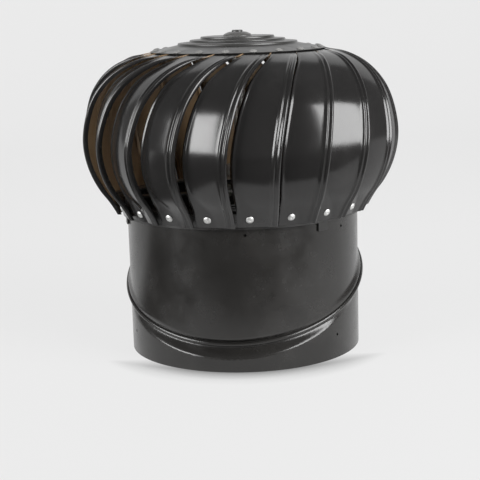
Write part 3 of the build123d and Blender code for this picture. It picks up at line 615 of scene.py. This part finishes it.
stage_material, tree, shader = new_material("stage")
shader.inputs["Base Color"].default_value = (FLOOR_GREY, FLOOR_GREY, FLOOR_GREY, 1)
shader.inputs["Roughness"].default_value = 0.9
out = next(node for node in tree.nodes if node.type == "OUTPUT_MATERIAL")
glow = tree.nodes.new("ShaderNodeEmission")
glow.inputs["Color"].default_value = (1, 1, 1, 1)
shade = tree.nodes.new("ShaderNodeAmbientOcclusion")
shade.inputs["Distance"].default_value = SHADE_REACH
path = tree.nodes.new("ShaderNodeLightPath")
mix = tree.nodes.new("ShaderNodeMixShader")
place = tree.nodes.new("ShaderNodeNewGeometry")
split = tree.nodes.new("ShaderNodeSeparateXYZ")
link(tree, place.outputs["Position"], split.inputs["Vector"])


def edge(axis, start, end):
    """Rises from 0 to 1 between two places along an axis, in metres."""
    node = tree.nodes.new("ShaderNodeMapRange")
    node.inputs["From Min"].default_value = start
    node.inputs["From Max"].default_value = end
    link(tree, split.outputs[axis], node.inputs["Value"])
    return node.outputs["Result"]


def calculate(operation, first, second):
    node = tree.nodes.new("ShaderNodeMath")
    node.operation = operation
    for socket, value in zip(node.inputs, (first, second)):
        if isinstance(value, float):
            socket.default_value = value
        else:
            link(tree, value, socket)
    return node.outputs[0]


# Painted reflection: the region of floor that glows for glossy rays as a bright table top
table_left = calculate("MAXIMUM", edge("X", -0.31, -0.26), edge("Y", 0.05, 0.2))
table_seen = calculate("MULTIPLY", edge("Y", -0.41, -0.37), table_left)
link(tree, calculate("MULTIPLY", path.outputs["Is Camera Ray"], GLOW_SHARE), mix.inputs["Fac"])
# Painted shade: ambient occlusion darkens the glow only in front of the base, and behind the rim the glow
# stays full
shaded = tree.nodes.new("ShaderNodeMapRange")
shaded.inputs["From Min"].default_value = 0.5
shaded.inputs["To Min"].default_value = SHADE_DEPTH * BACKGROUND
shaded.inputs["To Max"].default_value = BACKGROUND
behind_rim = edge("Y", -0.2, -0.08)
link(tree, calculate("MAXIMUM", shade.outputs["AO"], behind_rim), shaded.inputs["Value"])
# Painted shade: the camera's glow is switched off on the floor inside the throat
from_axis = tree.nodes.new("ShaderNodeVectorMath")
from_axis.operation = "LENGTH"
link(tree, place.outputs["Position"], from_axis.inputs[0])
outside = calculate("GREATER_THAN", from_axis.outputs["Value"], 0.001 * TUBE_RADIUS)
link(tree, calculate("MULTIPLY", shaded.outputs["Result"], outside), glow.inputs["Strength"])
mirrored = tree.nodes.new("ShaderNodeEmission")
mirrored.inputs["Color"].default_value = (1, 1, 1, 1)
table_glow = calculate("MULTIPLY", table_seen, TABLE_GLOW)
link(tree, calculate("ADD", table_glow, ROOM_GLOW), mirrored.inputs["Strength"])
final = tree.nodes.new("ShaderNodeMixShader")
link(tree, path.outputs["Is Glossy Ray"], final.inputs["Fac"])
link(tree, mix.outputs["Shader"], final.inputs[1])
link(tree, mirrored.outputs["Emission"], final.inputs[2])
link(tree, shader.outputs["BSDF"], mix.inputs[1])
link(tree, glow.outputs["Emission"], mix.inputs[2])
link(tree, final.outputs["Shader"], out.inputs["Surface"])

SWEEP_FRONT = -1500.0
SWEEP_BEND = 2200.0
SWEEP_RADIUS = 1200.0
SWEEP_TOP = 4200.0
SWEEP_SIDE = 4500.0
SWEEP_STEPS = 20
SWEEP_COLUMNS = 12

sweep, sweep_faces = [], []
profile = [(SWEEP_FRONT, 0.0), (SWEEP_BEND, 0.0)]
for a in np.linspace(0, math.pi / 2, SWEEP_STEPS)[1:]:
    profile.append((SWEEP_BEND + SWEEP_RADIUS * math.sin(a), SWEEP_RADIUS - SWEEP_RADIUS * math.cos(a)))
profile.append((SWEEP_BEND + SWEEP_RADIUS, SWEEP_TOP))
for place, height in profile:
    for side in np.linspace(-SWEEP_SIDE, SWEEP_SIDE, SWEEP_COLUMNS):
        sweep.append((side, place, height - FLOOR_DROP))
for row in range(len(profile) - 1):
    for column in range(SWEEP_COLUMNS - 1):
        a = row * SWEEP_COLUMNS + column
        sweep_faces.append((a, a + 1, a + SWEEP_COLUMNS + 1, a + SWEEP_COLUMNS))
backdrop = make_object("backdrop", sweep, sweep_faces, (stage_material,), None, 60)

# --- Camera -------------------------------------------------------------------------------------

# Metres and degrees; FOCAL is the focal length in pixels of the picture
DISTANCE = 1.6
EYE = 0.4527
PITCH_DOWN = 11.227
YAW = -0.154
ROLL = -1.7
FOCAL = 1237.56
PICTURE_WIDTH = 480.0
SENSOR_WIDTH = 36.0
yaw, pitch, roll = (math.radians(value) for value in (YAW, PITCH_DOWN, ROLL))
level_right = Vector((math.cos(yaw), -math.sin(yaw), 0))
level_ahead = Vector((math.sin(yaw), math.cos(yaw), 0))
ahead = level_ahead * math.cos(pitch) - Vector((0, 0, math.sin(pitch)))
level_up = level_ahead * math.sin(pitch) + Vector((0, 0, math.cos(pitch)))
right = level_right * math.cos(roll) + level_up * math.sin(roll)
up = level_up * math.cos(roll) - level_right * math.sin(roll)
camera_data = bpy.data.cameras.new("camera")
camera_data.sensor_width = SENSOR_WIDTH
camera_data.lens = SENSOR_WIDTH * FOCAL / PICTURE_WIDTH
camera = bpy.data.objects.new("camera", camera_data)
turn = Matrix((right, up, -ahead)).transposed().to_4x4()
camera.matrix_world = Matrix.Translation((0, -DISTANCE, EYE)) @ turn
bpy.context.scene.collection.objects.link(camera)
bpy.context.scene.camera = camera

# --- Light --------------------------------------------------------------------------------------

ROOM_LIGHT = 0.18


def softbox(name, place, target, size, power):
    data = bpy.data.lights.new(name, "AREA")
    data.shape = "RECTANGLE"
    data.size, data.size_y = size
    data.energy = power
    lamp = bpy.data.objects.new(name, data)
    lamp.location = place
    lamp.rotation_euler = (Vector(target) - Vector(place)).to_track_quat("-Z", "Y").to_euler()
    bpy.context.scene.collection.objects.link(lamp)


softbox("left", (-2.485, -1.07, 0.87), (-2.062, -0.164, 0.87), (2.2, 1.44), 119)
softbox("right", (1.668, -1.02, 0.9), (1.245, -0.114, 0.9), (1.7, 1.4), 84)

world = bpy.data.worlds.new("studio")
bpy.context.scene.world = world
world.use_nodes = True
background = next(node for node in world.node_tree.nodes if node.type == "BACKGROUND")
background.inputs["Color"].default_value = (1, 1, 1, 1)
rays = world.node_tree.nodes.new("ShaderNodeLightPath")
strength = world.node_tree.nodes.new("ShaderNodeMapRange")
strength.inputs["To Min"].default_value = ROOM_LIGHT
strength.inputs["To Max"].default_value = BACKGROUND
world.node_tree.links.new(rays.outputs["Is Camera Ray"], strength.inputs["Value"])
world.node_tree.links.new(strength.outputs["Result"], background.inputs["Strength"])

bpy.context.scene.view_settings.view_transform = "Standard"
